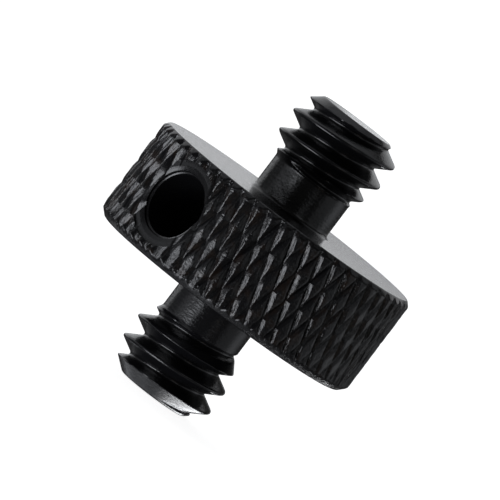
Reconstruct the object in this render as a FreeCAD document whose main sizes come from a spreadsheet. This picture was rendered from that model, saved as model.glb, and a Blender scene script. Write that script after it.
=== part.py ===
import FreeCAD, Part
import Sketcher
import os

# Double-ended thread adapter: one piece of bar stock turned on the Z axis.
# Lower stud z = 0..6, disc z = 6..12, upper stud z = 12..18 (mm), the piece
# standing on the flat end of its lower stud, with the cross hole along Y.

os.makedirs("parts", exist_ok=True)
doc = FreeCAD.newDocument("thread_adapter")

# ---------------------------------------------------------------- dimensions
sheet = doc.addObject("Spreadsheet::Sheet", "Dims")
DIMS = [
    # alias, value, what it is
    ("stud_length", 6.0, "each stud, from disc face to end"),
    ("disc_thick", 6.0, "disc, face to face"),
    ("disc_dia", 16.1, "disc, over the knurl crests"),
    ("edge_axial_top", 0.28, "upper rim chamfer, along the axis"),
    ("edge_radial_top", 0.25, "upper rim chamfer, along the radius"),
    ("edge_axial_low", 0.42, "lower rim chamfer, along the axis"),
    ("edge_radial_low", 0.42, "lower rim chamfer, along the radius"),
    ("neck_dia", 4.73, "plain relieved neck of each stud"),
    ("neck_fillet", 0.24, "root fillet where a neck meets the disc"),
    ("neck_len_upper", 2.06, "upper neck, from disc face to the cone"),
    ("neck_len_lower", 1.88, "lower neck, from disc face to the cone"),
    ("cone_slope", 0.63, "radius gained per mm on the thread lead-in cone"),
    ("thread_major", 6.13, "major diameter of the 1/4-20 thread"),
    ("thread_root", 4.446, "root diameter of the thread"),
    ("thread_pitch", 1.27, "pitch, 20 turns per inch"),
    ("root_flat", 0.138, "flat at the bottom of the groove"),
    ("flank_angle", 30.0, "flank to the plane square to the axis"),
    ("end_flat_upper", 4.26, "flat end face of the upper stud"),
    ("end_flat_lower", 4.0, "flat end face of the lower stud"),
    ("end_slope_upper", 1.3, "radius lost per mm on the upper end chamfer"),
    ("end_slope_lower", 1.2, "radius lost per mm on the lower end chamfer"),
    ("upper_phase", 16.3315, "height of the upper groove at angle 0"),
    ("lower_phase", 2.7545, "height of the lower groove at angle 0"),
    ("upper_relief_z", 14.3, "height of the turned groove the thread runs into"),
    ("lower_runout_turn", 62.0, "angle where the lower groove starts to run out"),
    ("lower_runout_rise", 0.34, "axial length of that run-out"),
    ("lower_runout_taper", 31.0, "angle at which the groove leaves the metal"),
    ("sector", 20.0, "sector that the thread blanks are revolved in"),
    ("hole_dia", 3.55, "cross hole for a tommy bar"),
    ("hole_rise", 0.075, "height of the cross hole above the disc's middle"),
    ("hole_sink", 0.14, "45 degree countersink of each mouth, wide and deep"),
    ("ring_wide", 0.215, "shallow dished ring round the countersink, wide"),
    ("ring_deep", 0.07, "that ring, deep"),
    ("spot_dia", 4.84, "smooth spotface round each mouth"),
    ("spot_plane", 7.78, "distance of the spotface from the axis"),
]
for row, (alias, value, note) in enumerate(DIMS, start=1):
    sheet.set("A%d" % row, alias)
    sheet.set("B%d" % row, repr(float(value)))
    sheet.set("C%d" % row, note)
    sheet.setAlias("B%d" % row, alias)
# worked-out cells, so that every feature can read one name
WORKED = [
    ("tot_length", "=2 * stud_length + disc_thick"),
    ("z_low_face", "=stud_length"),
    ("z_top_face", "=stud_length + disc_thick"),
    ("disc_rad", "=disc_dia / 2"),
    ("neck_rad", "=neck_dia / 2"),
    ("major_rad", "=thread_major / 2"),
    ("root_rad", "=thread_root / 2"),
    ("z_neck_low", "=z_low_face - neck_len_lower"),
    ("z_neck_top", "=z_top_face + neck_len_upper"),
    ("cone_len", "=(major_rad - neck_rad) / cone_slope"),
    ("end_rad_up", "=end_flat_upper / 2"),
    ("end_rad_low", "=end_flat_lower / 2"),
    ("end_len_up", "=(major_rad - end_rad_up) / end_slope_upper"),
    ("end_len_low", "=(major_rad - end_rad_low) / end_slope_lower"),
    # the cutter reaches 0.085 past the crest, and its turns stay apart
    ("cut_rad", "=major_rad + 0.085"),
    ("root_half", "=root_flat / 2"),
    ("cut_half", "=root_half + (cut_rad - root_rad) * tan(flank_angle * 1 deg)"),
    ("up_turns", "=(upper_relief_z - upper_phase) / thread_pitch"),
    ("up_angle", "=up_turns * 360"),
    ("up_height", "=tot_length + 0.72 - upper_relief_z"),
    ("low_end_z", "=lower_phase + thread_pitch + thread_pitch * lower_runout_turn / 360"),
    ("low_height", "=low_end_z + 0.75"),
    ("low_start_z", "=low_end_z - low_height"),
    ("low_angle", "=lower_runout_turn - 360 * (low_height / thread_pitch)"),
    ("hole_rad", "=hole_dia / 2"),
    ("spot_rad", "=spot_dia / 2"),
    ("sink_rad", "=hole_rad + hole_sink"),
    ("ring_rad", "=sink_rad + ring_wide"),
    ("ring_inner", "=spot_plane - ring_deep"),
    ("sink_inner", "=spot_plane - ring_deep - hole_sink"),
    ("hole_z", "=stud_length + disc_thick / 2 + hole_rise"),
]
for row, (alias, formula) in enumerate(WORKED, start=len(DIMS) + 2):
    sheet.set("A%d" % row, alias)
    sheet.set("B%d" % row, formula)
    sheet.setAlias("B%d" % row, alias)
doc.recompute()


def dim(name):
    value = getattr(sheet, name)
    return float(getattr(value, "Value", value))


# -------------------------------------------------------------------- helpers
body = doc.addObject("PartDesign::Body", "ThreadAdapter")
body.Label = "thread_adapter"


def origin_item(role):
    return [o for o in body.Origin.OriginFeatures if o.Role == role][0]


def sketch_on(name, role, turn=None):
    """A sketch on one of the body's own planes. With turn, the meridian plane is
    swung about the Z axis by that many degrees (an expression)."""
    sk = body.newObject("Sketcher::SketchObject", name)
    sk.AttachmentSupport = [(origin_item(role), "")]
    sk.MapMode = "FlatFace"
    if turn is not None:
        sk.AttachmentOffset = FreeCAD.Placement(
            FreeCAD.Vector(0, 0, 0), FreeCAD.Rotation(FreeCAD.Vector(0, 1, 0), 10)
        )
        sk.setExpression("AttachmentOffset.Rotation.Angle", turn)
    return sk


def value_of(expression):
    """What a sum of sheet names and numbers, such as 'disc_rad + 1', comes to."""
    total, sign = 0.0, 1.0
    for word in expression.replace("-", "- ").split():
        if word in ("+", "-"):
            sign = 1.0 if word == "+" else -1.0
        else:
            total += sign * (float(word) if word[0].isdigit() else dim(word))
            sign = 1.0
    return total


def closed_loop(sk, points):
    """A closed polygon, each corner held by two dimensions read from the sheet.
    points: (x expression, y expression), '0' for a corner on that axis."""
    n = len(points)
    xy = [
        (
            0.0 if px == "0" else value_of(px),
            0.0 if py == "0" else value_of(py),
        )
        for px, py in points
    ]
    first = sk.GeometryCount
    for i in range(n):
        a, b = xy[i], xy[(i + 1) % n]
        sk.addGeometry(
            Part.LineSegment(FreeCAD.Vector(a[0], a[1], 0), FreeCAD.Vector(b[0], b[1], 0)),
            False,
        )
    for i in range(n):
        sk.addConstraint(
            Sketcher.Constraint("Coincident", first + i, 2, first + (i + 1) % n, 1)
        )
    for i, (px, py) in enumerate(points):
        g = first + i
        if px == "0":
            sk.addConstraint(Sketcher.Constraint("PointOnObject", g, 1, -2))
        else:
            k = sk.addConstraint(Sketcher.Constraint("DistanceX", -1, 1, g, 1, xy[i][0]))
            sk.setExpression("Constraints[%d]" % k, "<<Dims>>.%s" % px if px.isidentifier() else tied(px))
        if py == "0":
            sk.addConstraint(Sketcher.Constraint("PointOnObject", g, 1, -1))
        else:
            k = sk.addConstraint(Sketcher.Constraint("DistanceY", -1, 1, g, 1, xy[i][1]))
            sk.setExpression("Constraints[%d]" % k, "<<Dims>>.%s" % py if py.isidentifier() else tied(py))


def tied(expression):
    """An expression of sheet names, with each name tied to the sheet."""
    out, word = "", ""
    for ch in expression + " ":
        if ch.isalnum() or ch == "_" or (ch == "." and word and word[0].isdigit()):
            word += ch
            continue
        if word and not word[0].isdigit():
            word = "<<Dims>>." + word
        out += word + ch
        word = ""
    return out.strip()


def checked(feature, before, grows, what):
    """Recompute and make sure the feature changed the volume the right way."""
    doc.recompute()
    if "Invalid" in feature.State or "Error" in feature.State or feature.Shape.isNull():
        raise RuntimeError("%s failed: %s" % (what, feature.State))
    after = feature.Shape.Volume
    print("%-16s volume %9.3f -> %9.3f mm3" % (what, before, after))
    if (after - before) * (1 if grows else -1) <= 0.005:
        raise RuntimeError("%s changed nothing" % what)
    return after


# ----------------------------------------- disc and necks: one revolved profile
spool_sk = sketch_on("SpoolProfile", "XZ_Plane")
closed_loop(
    spool_sk,
    [
        ("0", "z_neck_low"),
        ("neck_rad", "z_neck_low"),
        ("neck_rad", "z_low_face"),
        ("disc_rad - edge_radial_low", "z_low_face"),
        ("disc_rad", "z_low_face + edge_axial_low"),
        ("disc_rad", "z_top_face - edge_axial_top"),
        ("disc_rad - edge_radial_top", "z_top_face"),
        ("neck_rad", "z_top_face"),
        ("neck_rad", "z_neck_top"),
        ("0", "z_neck_top"),
    ],
)
spool = body.newObject("PartDesign::Revolution", "DiscAndNecks")
spool.Profile = spool_sk
spool.ReferenceAxis = (spool_sk, ["V_Axis"])
spool.Angle = 360.0
spool.Refine = False
vol = checked(spool, 0.0, True, "disc and necks")

# ------------------------------------------------ thread blanks of both studs
# Each blank (cone, major diameter, end chamfer) is revolved as one sector and
# repeated round the axis, so the crest of the thread, which would be a single
# strip several turns long, stays in short arcs that can each be gauged.
blank_sk = sketch_on("StudProfile", "XZ_Plane")
closed_loop(
    blank_sk,
    [
        ("0", "0"),
        ("end_rad_low", "0"),
        ("major_rad", "end_len_low"),
        ("major_rad", "z_neck_low - cone_len"),
        ("neck_rad", "z_neck_low"),
        ("0", "z_neck_low"),
    ],
)
closed_loop(
    blank_sk,
    [
        ("0", "z_neck_top"),
        ("neck_rad", "z_neck_top"),
        ("major_rad", "z_neck_top + cone_len"),
        ("major_rad", "tot_length - end_len_up"),
        ("end_rad_up", "tot_length"),
        ("0", "tot_length"),
    ],
)
blank = body.newObject("PartDesign::Revolution", "StudBlank")
blank.Profile = blank_sk
blank.ReferenceAxis = (blank_sk, ["V_Axis"])
blank.setExpression("Angle", "<<Dims>>.sector * 1 deg")
blank.Refine = False
vol = checked(blank, vol, True, "stud sector")

ring = body.newObject("PartDesign::PolarPattern", "StudBlanks")
ring.Originals = [blank]
ring.Axis = (blank_sk, ["V_Axis"])
ring.Angle = 360.0
ring.setExpression("Occurrences", "360 / <<Dims>>.sector")
ring.Refine = False
body.Tip = ring
vol = checked(ring, vol, True, "stud blanks")

# ------------------------------------------------- small root fillets of necks
edges = []
for i, e in enumerate(ring.Shape.Edges, start=1):
    c = getattr(e, "Curve", None)
    if isinstance(c, Part.Circle) and abs(c.Radius - dim("neck_rad")) < 1e-6:
        if min(abs(c.Center.z - dim("z_low_face")), abs(c.Center.z - dim("z_top_face"))) < 1e-6:
            edges.append("Edge%d" % i)
fillet = body.newObject("PartDesign::Fillet", "NeckFillets")
fillet.Base = (ring, edges)
fillet.setExpression("Radius", "<<Dims>>.neck_fillet * 1 mm")
fillet.Refine = False
vol = checked(fillet, vol, True, "neck fillets")


# --------------------------------------------------------------- thread grooves
def groove_profile(name, turn, height):
    """The section of the groove in a meridian plane: two 30 degree flanks and a
    narrow flat root."""
    sk = sketch_on(name, "XZ_Plane", turn)
    closed_loop(
        sk,
        [
            ("root_rad", "%s - root_half" % height),
            ("cut_rad", "%s - cut_half" % height),
            ("cut_rad", "%s + cut_half" % height),
            ("root_rad", "%s + root_half" % height),
        ],
    )
    return sk


def helix(name, sk, height, taper=None):
    hx = body.newObject("PartDesign::SubtractiveHelix", name)
    hx.Profile = sk
    hx.ReferenceAxis = (sk, ["V_Axis"])
    hx.Mode = "pitch-height-angle"
    hx.setExpression("Pitch", "<<Dims>>.thread_pitch * 1 mm")
    hx.setExpression("Height", "<<Dims>>.%s * 1 mm" % height)
    if taper:
        hx.setExpression("Angle", "<<Dims>>.%s * 1 deg" % taper)
    hx.LeftHanded = False
    hx.Reversed = False
    hx.Refine = False
    return hx


# upper stud: a right-hand groove that starts in a turned V groove at the neck
relief_sk = groove_profile("UpperReliefProfile", None, "upper_relief_z")
relief = body.newObject("PartDesign::Groove", "UpperRelief")
relief.Profile = relief_sk
relief.ReferenceAxis = (relief_sk, ["V_Axis"])
relief.Angle = 360.0
relief.Refine = False
vol = checked(relief, vol, False, "upper relief")

upper_sk = groove_profile("UpperThreadProfile", "<<Dims>>.up_angle * 1 deg", "upper_relief_z")
upper = helix("UpperThread", upper_sk, "up_height")
vol = checked(upper, vol, False, "upper thread")

# lower stud: the groove comes up from the end and runs out on the neck
lower_sk = groove_profile("LowerThreadProfile", "<<Dims>>.low_angle * 1 deg", "low_start_z")
lower = helix("LowerThread", lower_sk, "low_height")
vol = checked(lower, vol, False, "lower thread")

runout_sk = groove_profile(
    "LowerRunoutProfile", "<<Dims>>.lower_runout_turn * 1 deg", "low_end_z"
)
runout = helix("LowerRunout", runout_sk, "lower_runout_rise", "lower_runout_taper")
vol = checked(runout, vol, False, "lower run-out")

# ------------------------------------------------------------------- cross hole
# Flat spotface, shallow dished ring, 45 degree countersink and bore, revolved
# about the hole's own axis, which crosses the disc near its mid height along Y.
# Both mouths are the same.
hole_sk = sketch_on("CrossHoleProfile", "YZ_Plane")
closed_loop(
    hole_sk,
    [
        ("-disc_rad - 1", "hole_z"),
        ("-disc_rad - 1", "hole_z + spot_rad"),
        ("-spot_plane", "hole_z + spot_rad"),
        ("-spot_plane", "hole_z + ring_rad"),
        ("-ring_inner", "hole_z + sink_rad"),
        ("-sink_inner", "hole_z + hole_rad"),
        ("sink_inner", "hole_z + hole_rad"),
        ("ring_inner", "hole_z + sink_rad"),
        ("spot_plane", "hole_z + ring_rad"),
        ("spot_plane", "hole_z + spot_rad"),
        ("disc_rad + 1", "hole_z + spot_rad"),
        ("disc_rad + 1", "hole_z"),
    ],
)
hole = body.newObject("PartDesign::Groove", "CrossHole")
hole.Profile = hole_sk
hole.ReferenceAxis = (hole_sk, ["Edge12"])
hole.Angle = 360.0
hole.Refine = False
vol = checked(hole, vol, False, "cross hole")
body.Tip = hole
body.Placement = FreeCAD.Placement()
doc.recompute()

# ----------------------------------------------------------------------- checks
for obj in doc.Objects:
    if "Invalid" in obj.State or "Error" in obj.State:
        raise RuntimeError("%s: %s" % (obj.Name, obj.State))
shape = body.Shape
if shape.isNull() or not shape.isValid() or len(shape.Solids) != 1:
    raise RuntimeError("thread_adapter is not one valid solid")
box = shape.BoundBox
print("solids", len(shape.Solids), "faces", len(shape.Faces), "volume %.3f mm3" % shape.Volume)
print(
    "box x %.4f..%.4f y %.4f..%.4f z %.4f..%.4f"
    % (box.XMin, box.XMax, box.YMin, box.YMax, box.ZMin, box.ZMax)
)

shape.exportStep("parts/thread_adapter.step")
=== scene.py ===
import math

import bpy
import numpy as np
from mathutils import Matrix, Vector


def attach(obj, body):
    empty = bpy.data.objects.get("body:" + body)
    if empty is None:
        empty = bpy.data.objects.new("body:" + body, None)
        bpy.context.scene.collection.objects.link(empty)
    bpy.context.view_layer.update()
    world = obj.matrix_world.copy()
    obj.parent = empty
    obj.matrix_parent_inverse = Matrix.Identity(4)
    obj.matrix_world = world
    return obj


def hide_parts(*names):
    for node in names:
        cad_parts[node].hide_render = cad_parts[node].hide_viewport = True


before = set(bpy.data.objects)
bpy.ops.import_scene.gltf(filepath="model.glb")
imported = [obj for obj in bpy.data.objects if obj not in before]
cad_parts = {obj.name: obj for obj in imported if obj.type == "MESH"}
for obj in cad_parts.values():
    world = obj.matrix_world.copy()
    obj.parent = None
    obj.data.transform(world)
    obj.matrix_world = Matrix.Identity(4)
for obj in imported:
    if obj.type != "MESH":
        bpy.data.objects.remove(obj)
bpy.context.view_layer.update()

# Double-ended thread adapter, one turned piece standing on its lower stud.
# The mesh below has the true form of what the solid leaves plain: the diamond
# knurl, the thread run-outs and the broken edges. Sizes here are millimetres.

NODE = "thread_adapter"
Z_LOW, Z_TOP, Z_END = 6.0, 12.0, 18.0      # disc faces and upper end
R_DISC = 8.05                              # over the knurl's crests
R_NECK = 2.365
R_MAJOR = 3.065
R_ROOT = 2.223
PITCH = 1.27
ROOT_HALF = 0.069
FLANK = math.tan(math.radians(60.0))       # radius gained per mm along the axis
N_STUD = 128                               # columns round a stud
TURN = 40.4                                # a radius pointing at the picture's right, degrees


def wrap(deg):
    """Degrees brought to -180..180."""
    return (np.asarray(deg) + 180.0) % 360.0 - 180.0


def smin(a, b, k):
    """Smaller of two surfaces, with their meeting rounded over a width k."""
    h = np.clip(1.0 - np.abs(a - b) / k, 0.0, 1.0)
    return np.minimum(a, b) - h * h * k / 4.0


def smax(a, b, k):
    h = np.clip(1.0 - np.abs(a - b) / k, 0.0, 1.0)
    return np.maximum(a, b) + h * h * k / 4.0


def step(x):
    x = np.clip(x, 0.0, 1.0)
    return x * x * (3.0 - 2.0 * x)


# ------------------------------------------------------------------ mesh store
class Store:
    def __init__(self):
        self.co, self.faces, self.n = [], [], 0

    def add(self, x, y, z):
        pts = np.stack(np.broadcast_arrays(x, y, z), -1).reshape(-1, 3).astype(float)
        self.co.append(pts)
        first = self.n
        self.n += len(pts)
        return np.arange(first, self.n)

    def ring(self, r, z, theta):
        return self.add(r * np.cos(theta), r * np.sin(theta), z + 0.0 * theta)

    def face(self, *loop):
        out = []
        for v in loop:
            v = int(v)
            if not out or out[-1] != v:
                out.append(v)
        if len(out) > 1 and out[0] == out[-1]:
            out.pop()
        if len(set(out)) == len(out) and len(out) > 2:
            self.faces.append(tuple(out))

    def bridge(self, lower, upper):
        """Quads between two rings of the same count, lower one first."""
        n = len(lower)
        for i in range(n):
            j = (i + 1) % n
            self.face(lower[i], lower[j], upper[j], upper[i])

    def zip(self, lower, upper, t_lower, t_upper):
        """Triangles between two rings of different counts, matched by angle."""
        nl, nu = len(lower), len(upper)
        tl = np.mod(np.asarray(t_lower), 2 * math.pi)
        tu = np.mod(np.asarray(t_upper), 2 * math.pi)
        a, b = int(np.argmin(tl)), int(np.argmin(tu))
        i = j = 0
        while i < nl or j < nu:
            nxt_l = tl[(a + i + 1) % nl] + (2 * math.pi if a + i + 1 >= a + nl else 0.0)
            nxt_u = tu[(b + j + 1) % nu] + (2 * math.pi if b + j + 1 >= b + nu else 0.0)
            if j >= nu or (i < nl and nxt_l <= nxt_u):
                self.face(lower[(a + i) % nl], lower[(a + i + 1) % nl], upper[(b + j) % nu])
                i += 1
            else:
                self.face(lower[(a + i) % nl], upper[(b + j + 1) % nu], upper[(b + j) % nu])
                j += 1

    def fan(self, ring, point, up):
        n = len(ring)
        for i in range(n):
            j = (i + 1) % n
            if up:
                self.face(ring[i], ring[j], point)
            else:
                self.face(ring[j], ring[i], point)


store = Store()
theta_s = np.arange(N_STUD) * 2 * math.pi / N_STUD
deg_s = np.degrees(theta_s)

# Where the columns of the helical grid lie across one pitch, from the middle of
# the groove: close together at the root corners and over the rounded crest.
HALF = [0.0, 0.030, 0.055, 0.078, 0.105, 0.15, 0.20, 0.25, 0.30, 0.35, 0.40,
        0.44, 0.475, 0.503, 0.527, 0.549, 0.571, 0.595]
ACROSS = np.array(HALF + [0.635] + [PITCH - h for h in HALF[:0:-1]])


def helical_grid(phase, z_lo, z_hi, radius):
    """A tube between two heights, its rows following the thread. radius(deg, z)
    gives the surface. Returns the rings at both ends."""
    m = len(ACROSS)
    k0 = math.floor((z_lo - phase) / PITCH) - 2
    k1 = math.ceil((z_hi - phase) / PITCH) + 2
    s = np.concatenate([phase + k * PITCH + ACROSS for k in range(k0, k1)])
    rise = PITCH * np.arange(N_STUD) / N_STUD
    z = rise[:, None] + s[None, :]
    low = store.ring(radius(deg_s, np.full(N_STUD, z_lo)), z_lo, theta_s)
    top = store.ring(radius(deg_s, np.full(N_STUD, z_hi)), z_hi, theta_s)
    gap = 0.008
    index = np.full(z.shape, -1, int)
    below, above = z <= z_lo + gap, z >= z_hi - gap
    inside = ~(below | above)
    ii, jj = np.nonzero(inside)
    r = radius(deg_s[ii], z[ii, jj])
    ids = store.add(r * np.cos(theta_s[ii]), r * np.sin(theta_s[ii]), z[ii, jj])
    index[ii, jj] = ids
    index = np.where(below, low[:, None], index)
    index = np.where(above, top[:, None], index)
    cols = z.shape[1]
    for i in range(N_STUD):
        nxt, shift = (i + 1, 0) if i + 1 < N_STUD else (0, m)
        for j in range(cols - m - 1):
            store.face(index[i, j], index[nxt, j + shift], index[nxt, j + shift + 1], index[i, j + 1])
    return low, top


def groove(dz, root, root_half=ROOT_HALF):
    """Radius of a 60 degree V groove with a small rounded root."""
    return root + FLANK * smax(np.abs(dz) - root_half, 0.0 * dz, 0.05)


# ----------------------------------------------------------------- upper stud
UP_PHASE = 16.3315
UP_END_FLAT, UP_END_SLOPE = 2.13, 1.3


def upper_centre(big):
    """Height and root radius of the upper groove along its own path. big is the
    angle from the picture's right, counted on through every turn."""
    big = np.asarray(big, float)
    z = 15.204 + PITCH * big / 360.0
    u = np.clip((big + 360.0) / 180.0, 0.0, 1.0)
    blend = 14.305 + 0.157 * u**2 + 0.107 * u**3
    z = np.where(big < -180.0, blend, z)
    z = np.where(big < -450.0, 14.305 + 0.05 * step((-450.0 - big) / 50.0), z)
    root = R_ROOT + 0.033 * step((-180.0 - big) / 180.0)
    root = root + 0.42 * step((-455.0 - big) / 55.0)
    return z, root


def upper_radius(deg, z):
    blank = np.where(z > 16.2, R_MAJOR + 0.0 * z, R_MAJOR + 0.0 * z)
    cone = smax(R_NECK + 0.0 * z, R_NECK + 0.62 * (z - 14.075), 0.05)
    end = UP_END_FLAT + UP_END_SLOPE * (Z_END - z)
    blank = smin(smin(blank, cone, 0.05), end, 0.06)
    photo = wrap(deg - TURN)
    cut = np.full(np.shape(z), 9.0)
    for turn in range(-2, 5):
        big = photo + 360.0 * turn
        zc, root = upper_centre(big)
        g = groove(z - zc, root)
        g = np.where(big < -520.0, 9.0, g)
        cut = np.minimum(cut, g)
    return smin(blank, cut, 0.11)


# ----------------------------------------------------------------- lower stud
LOW_PHASE = 2.7545
LOW_END_FLAT, LOW_END_SLOPE = 2.0, 1.2


def lower_centre(big):
    big = np.asarray(big, float)
    z = 4.164 + PITCH * big / 360.0
    root = R_ROOT + 0.035 * step((big + 90.0) / 90.0) + 0.30 * step((big - 8.0) / 110.0)
    return z, root


def lower_radius(deg, z):
    blank = R_MAJOR + 0.012 + 0.0 * z
    cone = smax(R_NECK + 0.0 * z, R_NECK + 0.64 * (4.11 - z), 0.05)
    end = LOW_END_FLAT + LOW_END_SLOPE * z
    blank = smin(smin(blank, cone, 0.05), end, 0.09)
    photo = wrap(deg - TURN)
    cut = np.full(np.shape(z), 9.0)
    for turn in range(-5, 2):
        big = photo + 360.0 * turn
        zc, root = lower_centre(big)
        g = groove(z - zc, root)
        g = np.where(big > 150.0, 9.0, g)
        cut = np.minimum(cut, g)
    return smin(blank, cut, 0.10)


# --------------------------------------------------------------------- the rim
N_DIAMOND = 56
SUB = 8                                    # cells across half a diamond
HALF_W = 360.0 / N_DIAMOND / 2.0           # degrees
HALF_H = 1.477                             # mm
N_RIM = N_DIAMOND * 2 * SUB
DIAMOND_DEG, DIAMOND_Z = -52.4, 11.61      # one diamond's centre
WALL = 0.336                               # depth of a groove's wall over half a diamond
FACING = -49.6                             # the radius that points at the camera, degrees
deg_r = DIAMOND_DEG + np.arange(N_RIM) * HALF_W / SUB
theta_r = np.radians(deg_r)

rng = np.random.default_rng(20)
# each of the tool's ridges cuts a little deeper or shallower than the next
DEPTH_A = 1.0 + 0.07 * rng.standard_normal(N_DIAMOND)
DEPTH_B = 1.0 + 0.07 * rng.standard_normal(N_DIAMOND)


SCORE_A = rng.standard_normal((N_RIM, 12))
SCORE_B = rng.standard_normal((N_RIM, 12))
MARKS = 2.0 * rng.standard_normal((N_RIM, 12))


def score(table, across, along):
    """Fine scores left by the tool: they change quickly across a groove and
    slowly along it."""
    u, v = across * SUB, along * 1.4 + 5.0
    iu, iv = np.floor(u).astype(int), np.floor(v).astype(int)
    fu, fv = u - iu, v - iv
    a0, a1 = np.mod(iu, N_RIM), np.mod(iu + 1, N_RIM)
    b0, b1 = np.mod(iv, 12), np.mod(iv + 1, 12)
    lo = table[a0, b0] * (1 - fu) + table[a1, b0] * fu
    hi = table[a0, b1] * (1 - fu) + table[a1, b1] * fu
    return lo * (1 - fv) + hi * fv


def flat_share(deg, z):
    """Share of a diamond that stays flat. The tool was pressed in less along the
    lower edge and on one side of the disc."""
    phi = wrap(deg - FACING)
    right = step((phi + 2.0) / 16.0) * (1.0 - step((phi - 120.0) / 50.0))
    left = step((-6.0 - phi) / 14.0) * (1.0 - step((-55.0 - phi) / 30.0))
    low = step((8.5 - z) / 1.4)
    end = step((6.75 - z) / 0.35)
    return 0.30 + right * (0.17 + 0.12 * low) + 0.13 * left * low + 0.10 * end


def lean(deg, z):
    """Slope of the flats on one side of the disc, in its lower half, where the tool
    rolled the metal down."""
    phi = wrap(deg - FACING)
    side = step((-7.0 - phi) / 6.0) * (1.0 - step((-34.0 - phi) / 6.0))
    return math.tan(math.radians(5.0)) * side * step((10.2 - z) / 1.7)


def knurl(deg, z):
    """Depth below the crests: two families of slanting V grooves leave four-sided
    pyramids with small flat tops."""
    x = (deg - DIAMOND_DEG) / HALF_W
    y = (z - DIAMOND_Z) / HALF_H
    fa, fb = x + y, x - y
    ka = np.floor(fa / 2.0)                # which groove of each family is nearest
    kb = np.floor(fb / 2.0)
    da = np.abs(fa - 2.0 * ka - 1.0)
    db = np.abs(fb - 2.0 * kb - 1.0)
    flat = flat_share(deg, z)
    ga = WALL * DEPTH_A[np.mod(ka, N_DIAMOND).astype(int)] * (1.0 - flat - da)
    gb = WALL * DEPTH_B[np.mod(kb, N_DIAMOND).astype(int)] * (1.0 - flat - db)
    ga = ga + 0.0090 * score(SCORE_A, fa, y)
    gb = gb + 0.0090 * score(SCORE_B, fb, y)
    cut = smax(ga, gb, 0.010)
    # the level turning marks that are left on the flat tops
    marks = 0.006 * (1.0 + np.sin(score(MARKS, x / SUB, y * 4.6)))
    middle = np.round(fa / 2.0) - np.round(fb / 2.0)   # height of the nearest flat
    marks = marks + HALF_H * lean(deg, z) * np.clip(middle + 0.5 - y, 0.0, 1.2)
    return smax(cut, marks, 0.012)


def rim_radius(deg, z):
    r = R_DISC - knurl(deg, z)
    top = R_DISC - 0.893 * (z - 11.72)
    low = R_DISC - 1.0 * (6.42 - z)
    return smin(smin(r, top, 0.05), low, 0.10)


# --------------------------------------------------------------- put together
# lower end, the flat that it stands on
c = store.add(0.0, 0.0, 0.0)
r1 = store.ring(1.2, 0.0, theta_s)
r2 = store.ring(1.93, 0.0, theta_s)
r3 = store.ring(1.975, 0.006, theta_s)
r4 = store.ring(2.012, 0.024, theta_s)
store.fan(r1, c[0], False)
for a, b in ((r1, r2), (r2, r3), (r3, r4)):
    store.bridge(a, b)
low, top = helical_grid(LOW_PHASE, 0.05, 4.35, lower_radius)
store.bridge(r4, low)
# lower neck and its root fillet, which flares a little
last = top
for z in (4.7, 5.2, 5.5, 5.73):
    nxt = store.ring(R_NECK, z, theta_s)
    store.bridge(last, nxt)
    last = nxt
F = 0.24
for k in range(1, 10):
    a = k / 9 * math.pi / 2
    nxt = store.ring(R_NECK + F * (1 - math.cos(a)), Z_LOW - F + F * math.sin(a), theta_s)
    store.bridge(last, nxt)
    last = nxt
nxt = store.ring(2.68, Z_LOW, theta_s)
store.bridge(last, nxt)
last = nxt

# rim rows: the knurl's own lattice, with closer rows over both chamfers
rows = DIAMOND_Z + HALF_H / SUB * np.arange(-60, 12)
rows = [z for z in rows if 6.60 < z < 11.611]
rows = [6.045, 6.09, 6.14, 6.19, 6.24, 6.29, 6.34, 6.39, 6.44, 6.52] + rows
rows = rows + [11.66, 11.70, 11.735, 11.77, 11.81, 11.85, 11.885, 11.92, 11.955]
low_edge = [(7.50, 6.0), (7.56, 6.002), (7.60, 6.014)]
top_edge = [(7.812, 11.975), (7.79, 11.992), (7.76, 12.0), (7.71, 12.0)]
edge_rings = []
first = store.ring(low_edge[0][0], low_edge[0][1], theta_r)
store.zip(last, first, theta_s, theta_r)
last = first
for r, z in low_edge[1:]:
    nxt = store.ring(np.minimum(r, rim_radius(deg_r, np.full(N_RIM, z)) + 0.0), z, theta_r)
    store.bridge(last, nxt)
    last = nxt
grid = []
for z in rows:
    r = rim_radius(deg_r, np.full(N_RIM, z))
    grid.append(store.ring(r, z, theta_r))
store.bridge(last, grid[0])
for k in range(len(rows) - 1):
    lo_row, hi_row = grid[k], grid[k + 1]
    zm = (rows[k] + rows[k + 1]) / 2
    y = (zm - DIAMOND_Z) / HALF_H
    x = (np.arange(N_RIM) + 0.5) / SUB
    # the diagonal that runs along the nearer groove
    fa, fb = x + y, x - y
    da = np.abs(fa - 2.0 * np.floor(fa / 2.0) - 1.0)
    db = np.abs(fb - 2.0 * np.floor(fb / 2.0) - 1.0)
    for i in range(N_RIM):
        j = (i + 1) % N_RIM
        if da[i] < db[i]:
            store.face(lo_row[i], lo_row[j], hi_row[i])
            store.face(lo_row[j], hi_row[j], hi_row[i])
        else:
            store.face(lo_row[i], lo_row[j], hi_row[j])
            store.face(lo_row[i], hi_row[j], hi_row[i])
last = grid[-1]
for r, z in top_edge:
    rr = np.minimum(r, rim_radius(deg_r, np.full(N_RIM, min(z, 11.99))))
    if z == 12.0:
        rr = np.minimum(r, rr - 0.01)
    nxt = store.ring(rr, z, theta_r)
    store.bridge(last, nxt)
    last = nxt
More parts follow.
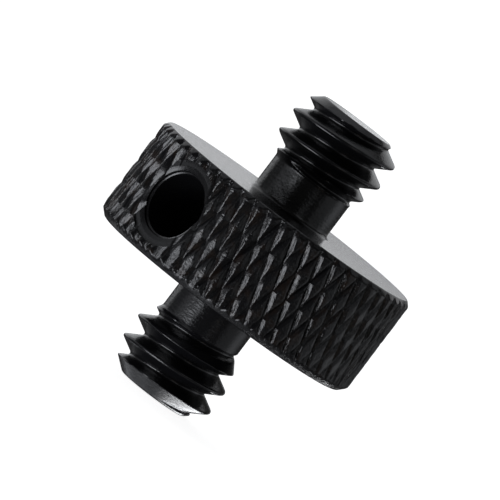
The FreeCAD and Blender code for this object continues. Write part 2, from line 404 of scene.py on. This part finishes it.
# upper face, fillet and neck
face_in = store.ring(2.68, Z_TOP, theta_s)
store.zip(last, face_in, theta_r, theta_s)
last = face_in
for k in range(9, 0, -1):
    a = k / 9 * math.pi / 2
    nxt = store.ring(R_NECK + F * (1 - math.cos(a)), Z_TOP + F - F * math.sin(a), theta_s)
    store.bridge(last, nxt)
    last = nxt
for z in (12.27, 12.5, 12.8, 13.2, 13.6):
    nxt = store.ring(R_NECK, z, theta_s)
    store.bridge(last, nxt)
    last = nxt
low, top = helical_grid(UP_PHASE, 13.9, 17.955, upper_radius)
store.bridge(last, low)
e1 = store.ring(2.150, 17.978, theta_s)
e2 = store.ring(2.115, 17.995, theta_s)
e3 = store.ring(2.07, 18.0, theta_s)
e4 = store.ring(1.3, 18.0, theta_s)
for a, b in ((top, e1), (e1, e2), (e2, e3), (e3, e4)):
    store.bridge(a, b)
c = store.add(0.0, 0.0, 18.0)
store.fan(e4, c[0], True)

co = np.concatenate(store.co) * 0.001
mesh = bpy.data.meshes.new("adapter")
mesh.from_pydata(co.tolist(), [], store.faces)
mesh.validate()
mesh.update()
adapter = bpy.data.objects.new("adapter_finish", mesh)
bpy.context.scene.collection.objects.link(adapter)
print("mesh", len(mesh.vertices), "vertices", len(mesh.polygons), "faces")

# ------------------------------------------------------- cross hole, both mouths
# Bore, the step that the countersink's tip left, shallow dished ring and flat
# spotface, turned about the hole's own axis: depth below the spotface, radius.
SPOT, HOLE_Z = 7.78, 9.075
mouth = [
    (0.330, 1.765), (0.300, 1.765), (0.280, 1.768), (0.266, 1.776), (0.256, 1.790),
    (0.232, 1.838), (0.222, 1.850), (0.205, 1.860), (0.180, 1.864), (0.105, 1.870),
    (0.078, 1.874), (0.064, 1.882), (0.060, 1.891), (0.064, 1.901), (0.069, 1.910),
    (0.066, 1.920), (0.055, 1.940), (0.036, 2.000), (0.018, 2.060), (0.006, 2.110),
    (0.001, 2.140), (0.0, 2.170), (0.0, 2.390), (-0.006, 2.412), (-0.03, 2.42),
    (-1.5, 2.42),
]
hole_path = [(SPOT - d, r) for d, r in mouth]
cut = Store()
n_h = 112
t_h = np.arange(n_h) * 2 * math.pi / n_h


def hole_ring(y, r):
    return cut.add(r * np.cos(t_h), np.full(n_h, y), HOLE_Z + r * np.sin(t_h))


path = [(-y, r) for y, r in reversed(hole_path)] + hole_path
rings = [hole_ring(y, r) for y, r in path]
for a, b in zip(rings[:-1], rings[1:]):
    for i in range(n_h):
        j = (i + 1) % n_h
        cut.face(a[j], a[i], b[i], b[j])
cut.faces.append(tuple(int(v) for v in rings[0]))
cut.faces.append(tuple(int(v) for v in rings[-1][::-1]))
cutter_mesh = bpy.data.meshes.new("hole_tool")
cutter_mesh.from_pydata((np.concatenate(cut.co) * 0.001).tolist(), [], cut.faces)
cutter_mesh.validate()
import bmesh

for m in (mesh, cutter_mesh):
    bm = bmesh.new()
    bm.from_mesh(m)
    bmesh.ops.recalc_face_normals(bm, faces=bm.faces)
    bm.to_mesh(m)
    bm.free()
cutter = bpy.data.objects.new("hole_tool", cutter_mesh)
bpy.context.scene.collection.objects.link(cutter)
mod = adapter.modifiers.new("hole", "BOOLEAN")
mod.operation = "DIFFERENCE"
mod.object = cutter
mod.solver = "MANIFOLD"
bpy.context.view_layer.update()
done = bpy.data.meshes.new_from_object(adapter.evaluated_get(bpy.context.evaluated_depsgraph_get()))
adapter.modifiers.clear()
adapter.data = done
bpy.data.meshes.remove(mesh)
bpy.data.objects.remove(cutter)
bpy.data.meshes.remove(cutter_mesh)
mesh = adapter.data
mesh.name = "adapter"
tris = sum(len(p.vertices) - 2 for p in mesh.polygons)
bm = bmesh.new()
bm.from_mesh(mesh)
open_edges = sum(1 for e in bm.edges if len(e.link_faces) != 2)
bm.free()
print("after the hole", len(mesh.vertices), "vertices", tris, "triangles", open_edges, "open edges")

# --------------------------------------------------------- smooth, sharp, slots
n_f = len(mesh.polygons)
nor = np.empty(n_f * 3)
mesh.polygons.foreach_get("normal", nor)
nor = nor.reshape(-1, 3)
cen = np.empty(n_f * 3)
mesh.polygons.foreach_get("center", cen)
cen = cen.reshape(-1, 3) * 1000.0
edge_faces = {}
for p in mesh.polygons:
    for key in p.edge_keys:
        edge_faces.setdefault(key, []).append(p.index)
sharp = np.zeros(len(mesh.edges), bool)
rad = np.hypot(cen[:, 0], cen[:, 1])
on_rim = rad > 7.45
in_hole = (np.hypot(cen[:, 0], cen[:, 2] - HOLE_Z) < 2.44) & (np.abs(cen[:, 1]) < 7.785)
verts_z = np.empty(len(mesh.vertices) * 3)
mesh.vertices.foreach_get("co", verts_z)
verts_z = verts_z.reshape(-1, 3)[:, 2] * 1000.0
for e in mesh.edges:
    f = edge_faces.get(tuple(sorted(e.vertices)), ())
    if len(f) != 2:
        continue
    d = float(np.dot(nor[f[0]], nor[f[1]]))
    if in_hole[f[0]] != in_hole[f[1]]:
        limit = 12.0
    elif in_hole[f[0]]:
        limit = 32.0
    elif on_rim[f[0]] and on_rim[f[1]]:
        limit = 15.0
        # the diamonds' slanting and upright ridges are worn round, and so shade
        # smoothly; the level ones and the grooves' bottoms are crisp
        bulge = float(np.dot(cen[f[1]] - cen[f[0]], nor[f[0]])) < 0.0
        za, zb = verts_z[e.vertices[0]], verts_z[e.vertices[1]]
        if bulge and abs(za - zb) > 0.01 and min(za, zb) > 6.3 and max(za, zb) < 11.67:
            limit = 90.0
    else:
        limit = 34.0
    sharp[e.index] = d < math.cos(math.radians(limit))
mesh.shade_smooth()
attr = mesh.attributes.get("sharp_edge") or mesh.attributes.new("sharp_edge", "BOOLEAN", "EDGE")
attr.data.foreach_set("value", sharp)
flat_face = (np.abs(nor[:, 2]) > 0.99999)
smooth = ~flat_face
face_attr = mesh.attributes.get("sharp_face") or mesh.attributes.new("sharp_face", "BOOLEAN", "FACE")
face_attr.data.foreach_set("value", ~smooth)

slot_id = np.zeros(n_f, int)
slot_id[on_rim & (cen[:, 2] > 6.02) & (cen[:, 2] < 11.98)] = 1
band = on_rim & (np.abs(nor[:, 2]) > 0.42)
slot_id[band] = 0
slot_id[in_hole] = 2


# ------------------------------------------------------------------- materials
def nodes_of(name):
    mat = bpy.data.materials.new(name)
    mat.use_nodes = True
    nt = mat.node_tree
    nt.nodes.clear()
    out = nt.nodes.new("ShaderNodeOutputMaterial")
    bsdf = nt.nodes.new("ShaderNodeBsdfPrincipled")
    nt.links.new(bsdf.outputs["BSDF"], out.inputs["Surface"])
    return mat, nt, bsdf


def noise(nt, vector, scale, detail=2.0, rough=0.5):
    n = nt.nodes.new("ShaderNodeTexNoise")
    n.inputs["Scale"].default_value = scale
    n.inputs["Detail"].default_value = detail
    n.inputs["Roughness"].default_value = rough
    nt.links.new(vector, n.inputs["Vector"])
    return n.outputs["Fac"]


def math_node(nt, op, a, b=None, clamp=False):
    n = nt.nodes.new("ShaderNodeMath")
    n.operation = op
    n.use_clamp = clamp
    for k, v in enumerate((a, b)):
        if v is None:
            continue
        if isinstance(v, (int, float)):
            n.inputs[k].default_value = v
        else:
            nt.links.new(v, n.inputs[k])
    return n.outputs[0]


def map_range(nt, value, lo, hi, to_lo, to_hi):
    n = nt.nodes.new("ShaderNodeMapRange")
    n.inputs["From Min"].default_value = lo
    n.inputs["From Max"].default_value = hi
    n.inputs["To Min"].default_value = to_lo
    n.inputs["To Max"].default_value = to_hi
    nt.links.new(value, n.inputs["Value"])
    return n.outputs["Result"]


def bump(nt, height, strength, distance, normal=None):
    n = nt.nodes.new("ShaderNodeBump")
    n.inputs["Strength"].default_value = strength
    n.inputs["Distance"].default_value = distance
    nt.links.new(height, n.inputs["Height"])
    if normal is not None:
        nt.links.new(normal, n.inputs["Normal"])
    return n.outputs["Normal"]


def mm_coords(nt):
    """Object coordinates in millimetres, as a vector, as x, y and z, and as the radius from the axis."""
    tex = nt.nodes.new("ShaderNodeTexCoord")
    scale = nt.nodes.new("ShaderNodeVectorMath")
    scale.operation = "SCALE"
    scale.inputs["Scale"].default_value = 1000.0
    nt.links.new(tex.outputs["Object"], scale.inputs[0])
    xyz = nt.nodes.new("ShaderNodeSeparateXYZ")
    nt.links.new(scale.outputs[0], xyz.inputs[0])
    x, y, z = xyz.outputs
    r = math_node(nt, "SQRT", math_node(nt, "ADD", math_node(nt, "MULTIPLY", x, x), math_node(nt, "MULTIPLY", y, y)))
    return scale.outputs[0], x, y, z, r


def combine(nt, a, b, c):
    n = nt.nodes.new("ShaderNodeCombineXYZ")
    for k, v in enumerate((a, b, c)):
        if isinstance(v, (int, float)):
            n.inputs[k].default_value = v
        else:
            nt.links.new(v, n.inputs[k])
    return n.outputs[0]


def black_turned():
    mat, nt, bsdf = nodes_of("black_turned")
    p, x, y, z, r = mm_coords(nt)
    bsdf.inputs["Base Color"].default_value = (0.0035, 0.0035, 0.0040, 1.0)
    bsdf.inputs["IOR"].default_value = 1.5
    grain = noise(nt, p, 8.0, 3.0, 0.6)
    lines = noise(nt, combine(nt, math_node(nt, "MULTIPLY", r, 1.0), z, math_node(nt, "MULTIPLY", x, 0.04)), 11.0, 3.0, 0.55)
    rough = map_range(nt, grain, 0.3, 0.7, 0.10, 0.18)
    nt.links.new(rough, bsdf.inputs["Roughness"])
    n1 = bump(nt, grain, 0.8, 0.000014)
    n2 = bump(nt, lines, 0.4, 0.000008, n1)
    # wavy level lines, deeper on the two necks
    turn = math_node(nt, "ARCTAN2", y, x)
    wave = noise(nt, combine(nt, math_node(nt, "MULTIPLY", turn, 6.5), math_node(nt, "MULTIPLY", z, 8.5), 0.0), 1.0, 2.0, 0.6)
    off = math_node(nt, "ABSOLUTE", math_node(nt, "SUBTRACT", z, 9.0))
    near = map_range(nt, off, 3.25, 3.45, 0.0, 1.0)
    far = map_range(nt, off, 4.75, 4.95, 1.0, 0.0)
    thin = map_range(nt, r, 2.38, 2.46, 1.0, 0.0)
    mask = math_node(nt, "MULTIPLY", math_node(nt, "MULTIPLY", near, far), thin)
    neck = math_node(nt, "MULTIPLY", math_node(nt, "SUBTRACT", wave, 0.5), mask)
    n3 = bump(nt, neck, 1.0, 0.000016, n2)
    nt.links.new(n3, bsdf.inputs["Normal"])
    return mat


def mix_by(nt, a, b, fac):
    """a where fac is 0, b where it is 1."""
    return math_node(nt, "ADD", a, math_node(nt, "MULTIPLY", math_node(nt, "SUBTRACT", b, a), fac))


def black_knurl():
    """The tool leaves fine scores along each groove's walls, and the turning that
    came before it shows as level lines on the flat tops."""
    mat, nt, bsdf = nodes_of("black_knurl")
    p, x, y, z, r = mm_coords(nt)
    bsdf.inputs["IOR"].default_value = 1.5
    turn = math_node(nt, "ARCTAN2", y, x)
    gx = math_node(nt, "SUBTRACT", math_node(nt, "MULTIPLY", turn, math.degrees(1.0) / HALF_W), DIAMOND_DEG / HALF_W)
    gy = math_node(nt, "MULTIPLY", math_node(nt, "SUBTRACT", z, DIAMOND_Z), 1.0 / HALF_H)
    fa = math_node(nt, "ADD", gx, gy)
    fb = math_node(nt, "SUBTRACT", gx, gy)

    def away(f):
        half = math_node(nt, "MULTIPLY", f, 0.5)
        part = math_node(nt, "MULTIPLY", math_node(nt, "FRACT", half), 2.0)
        return math_node(nt, "ABSOLUTE", math_node(nt, "SUBTRACT", part, 1.0))

    da, db = away(fa), away(fb)
    second = math_node(nt, "GREATER_THAN", da, db)
    across = mix_by(nt, fa, fb, second)
    along = mix_by(nt, fb, fa, second)
    scores = noise(nt, combine(nt, math_node(nt, "MULTIPLY", across, 5.0), math_node(nt, "MULTIPLY", along, 1.3), second), 1.0, 2.0, 0.6)
    level = noise(nt, combine(nt, math_node(nt, "MULTIPLY", gx, 1.1), math_node(nt, "MULTIPLY", z, 7.5), 0.0), 1.0, 2.0, 0.5)
    flat = map_range(nt, math_node(nt, "MINIMUM", da, db), 0.60, 0.72, 0.0, 1.0)
    height = mix_by(nt, scores, level, flat)
    grain = noise(nt, p, 9.0, 3.0, 0.6)
    rough = map_range(nt, grain, 0.3, 0.7, 0.06, 0.15)
    nt.links.new(rough, bsdf.inputs["Roughness"])
    patch = noise(nt, p, 1.3, 2.0, 0.5)
    ramp = nt.nodes.new("ShaderNodeValToRGB")
    ramp.color_ramp.elements[0].position = 0.50
    ramp.color_ramp.elements[0].color = (0.0035, 0.0035, 0.0040, 1.0)
    ramp.color_ramp.elements[1].position = 0.70
    ramp.color_ramp.elements[1].color = (0.0085, 0.0052, 0.0038, 1.0)
    nt.links.new(patch, ramp.inputs[0])
    nt.links.new(ramp.outputs[0], bsdf.inputs["Base Color"])
    n1 = bump(nt, grain, 0.6, 0.000020)
    n2 = bump(nt, height, 1.0, 0.000036, n1)
    nt.links.new(n2, bsdf.inputs["Normal"])
    return mat


def black_bore():
    """Cutter marks run round the hole's axis on the spotface and its ring."""
    mat, nt, bsdf = nodes_of("black_bore")
    p, x, y, z, r = mm_coords(nt)
    bsdf.inputs["Base Color"].default_value = (0.0040, 0.0040, 0.0044, 1.0)
    bsdf.inputs["IOR"].default_value = 1.5
    grain = noise(nt, p, 8.0, 2.0, 0.5)
    dz = math_node(nt, "SUBTRACT", z, HOLE_Z)
    rh = math_node(nt, "SQRT", math_node(nt, "ADD", math_node(nt, "MULTIPLY", x, x), math_node(nt, "MULTIPLY", dz, dz)))
    marks = noise(nt, combine(nt, math_node(nt, "MULTIPLY", rh, 14.0), math_node(nt, "MULTIPLY", x, 0.25), math_node(nt, "MULTIPLY", dz, 0.25)), 1.0, 2.0, 0.5)
    rough = map_range(nt, grain, 0.3, 0.7, 0.16, 0.27)
    nt.links.new(rough, bsdf.inputs["Roughness"])
    n1 = bump(nt, grain, 0.5, 0.000010)
    n2 = bump(nt, marks, 0.6, 0.000012, n1)
    nt.links.new(n2, bsdf.inputs["Normal"])
    return mat


mesh.materials.clear()
for mat in (black_turned(), black_knurl(), black_bore()):
    mesh.materials.append(mat)
mesh.polygons.foreach_set("material_index", slot_id)
mesh.update()

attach(adapter, "root")
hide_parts(NODE)

# ------------------------------------------------------------- camera and light
ELEV = math.radians(3.8)
FACE = math.radians(40.4)                  # the hole's mouth is this far to the left
d_h = Vector((math.sin(FACE), -math.cos(FACE), 0.0))
toward = Vector((d_h.x * math.cos(ELEV), d_h.y * math.cos(ELEV), math.sin(ELEV)))
right0 = Vector((math.cos(FACE), math.sin(FACE), 0.0))
up0 = toward.cross(right0)
ROLL = math.radians(37.0)
cam_x = right0 * math.cos(ROLL) + up0 * math.sin(ROLL)
cam_y = up0 * math.cos(ROLL) - right0 * math.sin(ROLL)
MID = Vector((0.0, 0.0, 0.009))
PX = 0.001 / 19.02                         # metres per pixel at the object
aim = MID - cam_x * (254.35 - 249.5) * PX + cam_y * (256.53 - 249.5) * PX
DIST = 0.55
cam = bpy.data.cameras.new("camera")
cam.type = "PERSP"
cam.sensor_width = 36.0
cam.lens = 36.0 * DIST / (500.0 * PX)
cam.clip_start, cam.clip_end = 0.01, 20.0
camera = bpy.data.objects.new("camera", cam)
bpy.context.scene.collection.objects.link(camera)
basis = Matrix((cam_x, cam_y, toward)).transposed().to_4x4()
basis.translation = aim + toward * DIST
camera.matrix_world = basis
bpy.context.scene.camera = camera


def from_view(x, y, t):
    """A direction given as picture right, picture up and towards the camera."""
    return (cam_x * x + cam_y * y + toward * t).normalized()


def softbox(name, direction, across, width, height, radiance, distance=0.8, color=(1, 1, 1)):
    """A rectangular area light that faces the object. across is the direction of
    its width."""
    light = bpy.data.lights.new(name, "AREA")
    light.shape = "RECTANGLE"
    light.size, light.size_y = width, height
    light.energy = radiance * math.pi * width * height
    light.color = color
    obj = bpy.data.objects.new(name, light)
    bpy.context.scene.collection.objects.link(obj)
    zaxis = direction.normalized()
    xaxis = (across - zaxis * across.dot(zaxis)).normalized()
    yaxis = zaxis.cross(xaxis)
    m = Matrix((xaxis, yaxis, zaxis)).transposed().to_4x4()
    m.translation = MID + zaxis * distance
    obj.matrix_world = m
    obj.visible_camera = False
    return obj


def side_panel(name, centre, normal, across, width, height, radiance, color=(1, 1, 1)):
    """A rectangular area light at a place given as picture right, picture up and
    towards the camera (metres from the object's middle). It shines along normal."""
    obj = softbox(name, Vector((0, 0, 1)), Vector((1, 0, 0)), width, height, radiance, 1.0, color)
    zaxis = -normal.normalized()
    xaxis = (across - zaxis * across.dot(zaxis)).normalized()
    yaxis = zaxis.cross(xaxis)
    m = Matrix((xaxis, yaxis, zaxis)).transposed().to_4x4()
    x, y, t = centre
    m.translation = MID + cam_x * x + cam_y * y + toward * t
    obj.matrix_world = m
    return obj


def seen_at(right_deg, up_deg):
    """A direction by its angle from the line to the camera, split into picture
    right and picture up."""
    a = math.radians(math.hypot(right_deg, up_deg)) + 1e-9
    k = math.sin(a) / a
    return from_view(k * math.radians(right_deg), k * math.radians(up_deg), math.cos(a))


def panel(name, right_deg, up_deg, half_w, half_h, radiance, across=None, distance=0.8, color=(1, 1, 1)):
    """A softbox by the angles that it fills, as seen from the object."""
    direction = seen_at(right_deg, up_deg)
    width = 2.0 * distance * math.tan(math.radians(half_w))
    height = 2.0 * distance * math.tan(math.radians(half_h))
    return softbox(name, direction, right0 if across is None else across, width, height, radiance, distance, color)


def mirrored(side_deg, rise_deg):
    """What a surface shows that faces side_deg to the right of the camera and
    rise_deg above the level."""
    a, b = math.radians(side_deg), math.radians(rise_deg)
    n = right0 * (math.sin(a) * math.cos(b)) + d_h * (math.cos(a) * math.cos(b)) + Vector((0, 0, math.sin(b)))
    return (2.0 * n.dot(toward) * n - toward).normalized()


def strip(name, da, db, half_h, radiance, distance=0.8, color=(1, 1, 1)):
    """A narrow softbox from one direction to another."""
    mid = (da + db).normalized()
    span = math.acos(max(-1.0, min(1.0, da.dot(db))))
    width = 2.0 * distance * math.tan(span / 2)
    height = 2.0 * distance * math.tan(math.radians(half_h))
    return softbox(name, mid, db - da, width, height, radiance, distance, color)


COOL = (0.955, 0.985, 1.045)
PALE = (0.975, 0.992, 1.02)
# one softbox stands at the picture's left, hottest below its middle
D = 0.6
side_panel("softbox_key", (-D, -0.12 * D, 0.89 * D), cam_x, toward, 1.02 * D, 0.94 * D, 4.8, COOL)
side_panel("softbox_key_top", (-D, 0.60 * D, 1.35 * D), cam_x, toward, 2.10 * D, 0.20 * D, 1.15, COOL)
side_panel("softbox_key_core", (-D, -0.46 * D, 0.93 * D), cam_x, toward, 0.90 * D, 0.30 * D, 18.0, COOL)
side_panel("softbox_key_low", (-D, -0.91 * D, 0.80 * D), cam_x, toward, 1.80 * D, 0.58 * D, 0.9, COOL)
side_panel("softbox_key_rim", (-D, 0.68 * D, 0.20 * D), cam_x, toward, 0.26 * D, 0.44 * D, 0.36, COOL)
# the pale backdrop behind, seen only above the level of the faces
tilt = math.radians(25.0)
up = Vector((0, 0, 1))
back_dir = -d_h * math.cos(tilt) + up * math.sin(tilt)
softbox("backdrop_light", back_dir - right0 * 0.55, right0, 1.25, 0.91, 0.60, 1.0, PALE)
# on the right a small card does it, above the disc, so that it can't light the lower stud
card_dir = -d_h * 0.90 + right0 * 0.44
card = softbox("backdrop_card", card_dir, up.cross(card_dir), 0.034, 0.022, 0.62, 0.033, PALE)
card.location.z = 0.0313
# and another one lights the left half of the upper face
left_dir = -d_h * 0.95 - right0 * 0.25
card = softbox("backdrop_card_left", left_dir, up.cross(left_dir), 0.012, 0.008, 0.16, 0.033, PALE)
card.location.z = 0.0165
low_tilt = math.radians(3.0)
softbox("backdrop_low", -d_h * math.cos(low_tilt) + up * math.sin(low_tilt), right0, 2.1, 0.14, 0.24, 1.0, PALE)
# the pale surface behind and below, at the picture's foot, laid along the
# directions that the chamfers mirror
foot = [mirrored(a, -51.5) for a in (9, 20, 42, 64)]
for k in range(3):
    strip("foot_light_%d" % k, foot[k], foot[k + 1], 3.4, (3.2, 8.0, 5.8)[k], color=PALE)
edge = [mirrored(a, -51.0) for a in (-52, -22, 10)]
strip("foot_edge_a", edge[0], edge[1], 4.0, 0.64, color=COOL)
strip("foot_edge_b", edge[1], edge[2], 4.0, 1.05, color=COOL)
under = [mirrored(a, -44.0) for a in (-66, -33, 0, 33, 66)]
for k in range(4):
    strip("under_fill_%d" % k, under[k], under[k + 1], 3.0, (0.24, 0.38, 0.27, 0.06)[k], color=COOL)
panel("low_fill", -52, -66, 42, 9, 0.24, color=COOL)
# weak fills all round
panel("fill_front", 32, -10, 15, 8, 0.45, across=cam_x, color=COOL)
panel("fill_warm", 8, -38, 8, 6, 0.35, color=(1.0, 0.82, 0.68))
panel("fill_right", 74, -57, 40, 20, 0.23, color=COOL)
panel("fill_far_right", 87, -65, 12, 20, 0.28, color=COOL)
panel("fill_top", -6, 92, 50, 24, 0.22, color=COOL)
panel("fill_over", 72, 76, 40, 20, 0.24, color=COOL)
panel("fill_left", -96, 62, 32, 22, 0.055, color=COOL)
panel("fill_far_left", -112, 84, 13, 20, 0.085, color=COOL)

# --------------------------------------------------------------- floor and world
bpy.ops.mesh.primitive_plane_add(size=8.0, location=(0, 0, -0.00002))
floor = bpy.context.active_object
floor.name = "floor"
fmat = bpy.data.materials.new("pale_floor")
fmat.use_nodes = True
fn = fmat.node_tree.nodes["Principled BSDF"]
fn.inputs["Base Color"].default_value = (0.9, 0.9, 0.9, 1)
fn.inputs["Roughness"].default_value = 0.8
fn.inputs["Emission Color"].default_value = (1, 1, 1, 1)
fn.inputs["Emission Strength"].default_value = 0.9
floor.data.materials.append(fmat)
floor.visible_glossy = False
floor.visible_diffuse = False
floor.visible_shadow = False

world = bpy.data.worlds.new("world")
bpy.context.scene.world = world
world.use_nodes = True
wn = world.node_tree
wn.nodes.clear()
w_out = wn.nodes.new("ShaderNodeOutputWorld")
bg_seen = wn.nodes.new("ShaderNodeBackground")
bg_seen.inputs["Color"].default_value = (1, 1, 1, 1)
bg_seen.inputs["Strength"].default_value = 1.0
bg_light = wn.nodes.new("ShaderNodeBackground")
bg_light.inputs["Color"].default_value = (1, 1, 1, 1)
bg_light.inputs["Strength"].default_value = 0.05
lp = wn.nodes.new("ShaderNodeLightPath")
mix = wn.nodes.new("ShaderNodeMixShader")
wn.links.new(lp.outputs["Is Camera Ray"], mix.inputs[0])
wn.links.new(bg_light.outputs[0], mix.inputs[1])
wn.links.new(bg_seen.outputs[0], mix.inputs[2])
wn.links.new(mix.outputs[0], w_out.inputs["Surface"])

scene = bpy.context.scene
scene.view_settings.view_transform = "Standard"
scene.view_settings.look = "None"
